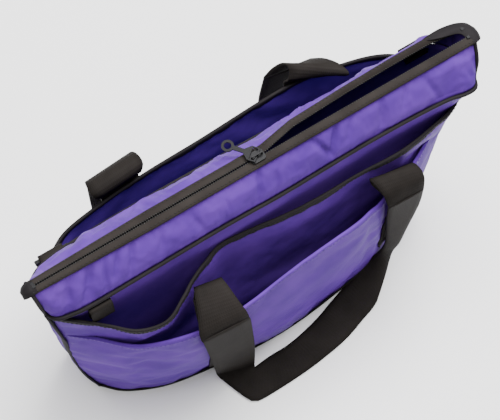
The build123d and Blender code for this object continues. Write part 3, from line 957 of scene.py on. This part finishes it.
# Back handle: sewn ends, crests above the back pocket, legs and grip hanging behind the bag
BACK_LEFT_LEVELS = ((60, -75, -113), (110, -75, -113), (160, -75, -113), (215, -75, -113))
BACK_LEFT_FREE = [((-75, 69, 228), (-114, 65.5, 227)), ((-74, 64, 234), (-116, 62, 232))]
BACK_LEFT_CREST = [
    ((-116, 62, 232), (-74, 64, 234)), ((-120, 63, 237), (-70, 66, 240)),
    ((-121, 68, 239.5), (-69, 71, 242)), ((-120, 75, 238), (-70, 78, 240)),
    ((-118, 81, 230), (-72, 84, 231)), ((-116, 84, 218), (-74, 87, 218)),
]
BACK_RIGHT_LEVELS = ((60, 113, 75), (110, 113, 75), (160, 113, 75), (215, 113, 75))
BACK_RIGHT_FREE = [((114, 66, 227), (75, 73, 227)), ((118, 54, 230), (77, 70, 232))]
BACK_RIGHT_CREST = [
    ((77, 70, 232), (118, 54, 230)), ((81, 74, 238), (123, 46, 236)), ((82, 79, 241), (124, 47, 240)),
    ((79, 84, 239), (121, 57, 240)), ((72, 87, 231), (115, 70, 234)), ((65, 88.5, 219), (108, 80, 224)),
]
BACK_LEGS = [
    ((-116, 84, 218), (-74, 87, 218)), ((-115, 88, 180), (-76, 90, 180)),
    ((-114, 90, 110), (-76, 91.5, 110)), ((-113, 91, 50), (-75, 92, 47)),
    ((-106, 91.5, 28), (-73, 92, 46)), ((-88, 92, 9), (-68, 92, 46)),
    ((-60, 92, 8), (-55, 91, 46)), ((0, 93, 8), (0, 90, 46)), ((60, 92, 8), (55, 91, 46)),
    ((88, 92, 9), (66, 92, 46)), ((104, 91.5, 28), (69, 92, 47)), ((108, 91, 52), (70, 92, 50)),
    ((104, 90, 110), (66, 91.5, 108)), ((103, 88, 170), (62, 91, 165)), ((108, 80, 224), (65, 88.5, 219)),
]


def swap(sections):
    """The same sections with their two edges exchanged, which turns the webbing's face over."""
    return [(b, a) for a, b in sections]


def sewn_ends(handle, grids):
    """Both sewn ends of a handle, with their stitched boxes."""
    pieces = [web_object(f"{handle}_anchor_{k}", grid) for k, grid in enumerate(grids)]
    obj = join(pieces, handle + "_anchor_webbing")
    finish_piece(obj, "bag", "black_webbing", handle + "_handle_anchors")
    for k, grid in enumerate(grids):
        sewn_box(f"{handle}_box_{k}", grid)


def crest(handle, name, sections):
    """Webbing that bends over above a sewn end, where the handle leaves the bag."""
    obj = web_object(f"{handle}_crest_{name}", ribbon_grid(sections, step=CREST_STEP))
    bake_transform(obj)


def front_handle():
    """Webbing handle that has flopped forward, its grip on the floor."""
    sewn_ends("front", [
        sewn_end(outer_wall, -SEWN_LIFT, FRONT_LEFT_LEVELS, FRONT_LEFT_FREE),
        sewn_end(outer_wall, -SEWN_LIFT, FRONT_RIGHT_LEVELS, FRONT_RIGHT_FREE),
    ])
    crest("front", "left", swap(FRONT_LEFT_CREST))
    crest("front", "right", FRONT_RIGHT_CREST)
    path = swap(FRONT_LEFT_LEG + FRONT_GRIP + FRONT_RIGHT_LEG)
    grip = web_object("front_grip_webbing", ribbon_grid(path, cup=FRONT_GRIP_CUP))
    finish_piece(grip, "front_handle", "black_webbing", "front_handle")


def back_handle():
    """Webbing handle that hangs behind the bag."""
    sewn_ends("back", [
        sewn_end(back_wall, SEWN_LIFT, BACK_LEFT_LEVELS, BACK_LEFT_FREE),
        sewn_end(back_wall, SEWN_LIFT, BACK_RIGHT_LEVELS, BACK_RIGHT_FREE),
    ])
    crest("back", "left", swap(BACK_LEFT_CREST))
    crest("back", "right", swap(BACK_RIGHT_CREST))
    legs = web_object("back_grip_webbing", ribbon_grid(BACK_LEGS))
    finish_piece(legs, "back_handle", "black_webbing", "back_handle")


front_handle()
back_handle()

# ---- Rings, tabs and the slider --------------------------------------------------------------

RING_X = 176
RING_AXIS = (31, 257)
RING_TAB_HALF = 11
RING_LOOP_RADIUS = 3.5
RING_TAB_THICKNESS = 1.4
KEY_EDGES = (-155, -175)
KEY_PATH = (
    (-26.0, 236), (-26.2, 250), (-27.4, 260), (-29.0, 262.5), (-30.8, 260), (-31.5, 250), (-31.8, 240),
)
KEY_TAB_THICKNESS = 1.6


def ring_tab(name, side):
    """Webbing loop that holds a strap ring at the end of the back seam."""
    inner = side * RING_X - RING_TAB_HALF
    outer = side * RING_X + RING_TAB_HALF
    axis_y, axis_z = RING_AXIS
    path = [(21, 259.6), (26, 260.6)]
    for angle in np.linspace(pi / 2, -pi / 2, 7):
        path.append((axis_y + RING_LOOP_RADIUS * cos(angle), axis_z + RING_LOOP_RADIUS * sin(angle)))
    path += [(26, 254.0), (21, 255.4)]
    sections = [((outer, y, z), (inner, y, z)) for y, z in path]
    obj = grid_object("ring_loop_" + name, ribbon_grid(sections, step=1.5))
    thicken(obj, RING_TAB_THICKNESS, 0, WEBBING)
    finish_piece(obj, "bag", "black_webbing", "ring_tab_" + name)


def key_tab():
    """Short webbing loop inside the left end of the document pocket."""
    first, second = KEY_EDGES
    sections = [((first, y, z), (second, y, z)) for y, z in KEY_PATH]
    obj = grid_object("key_tab_webbing", ribbon_grid(sections, step=2))
    thicken(obj, KEY_TAB_THICKNESS, 0, WEBBING)
    finish_piece(obj, "bag", "black_webbing", "key_tab")


def finish_node(node, material):
    """Give a CAD node its finish."""
    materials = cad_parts[node].data.materials
    materials.clear()
    materials.append(material)


ring_tab("left", -1)
ring_tab("right", 1)
key_tab()
for node in ("zip_slider", "zip_pull", "zip_stops", "strap_ring_left", "strap_ring_right"):
    finish_node(node, METAL)
finish_node("base_board", BOARD)

# ---- Floor and light -------------------------------------------------------------------------

FLOOR_TONE = 0.97
FLOOR_HALF = 12000
AMBIENT = 0.42
LIGHT_TARGET_M = Vector((0, 0, 0.15))


def add_floor():
    """A plain pale floor."""
    material, shader = new_material("pale_floor", (FLOOR_TONE, FLOOR_TONE, FLOOR_TONE), 0.9)
    shader.inputs["Specular IOR Level"].default_value = 0.0
    corners = [(x * FLOOR_HALF, y * FLOOR_HALF, 0) for x, y in ((-1, -1), (1, -1), (1, 1), (-1, 1))]
    floor = mesh_object("floor", corners, [(0, 1, 2, 3)])
    floor.data.materials.append(material)


def add_world():
    """Even white light from all round."""
    world = bpy.data.worlds.new("studio")
    scene.world = world
    world.use_nodes = True
    background = world.node_tree.nodes["Background"]
    background.inputs["Color"].default_value = (1, 1, 1, 1)
    background.inputs["Strength"].default_value = AMBIENT


def add_light(name, place, size, power):
    """A soft square light that points at the bag; its place and size are in metres."""
    data = bpy.data.lights.new(name, "AREA")
    data.size = size
    data.energy = power
    light = bpy.data.objects.new(name, data)
    light.location = place
    direction = LIGHT_TARGET_M - Vector(place)
    light.rotation_euler = direction.to_track_quat("-Z", "Y").to_euler()
    scene.collection.objects.link(light)


add_floor()
add_world()
add_light("key", place=(0.75, 0.3, 2.2), size=1.3, power=95)
add_light("overhead", place=(0.0, 0.3, 2.6), size=2.2, power=105)
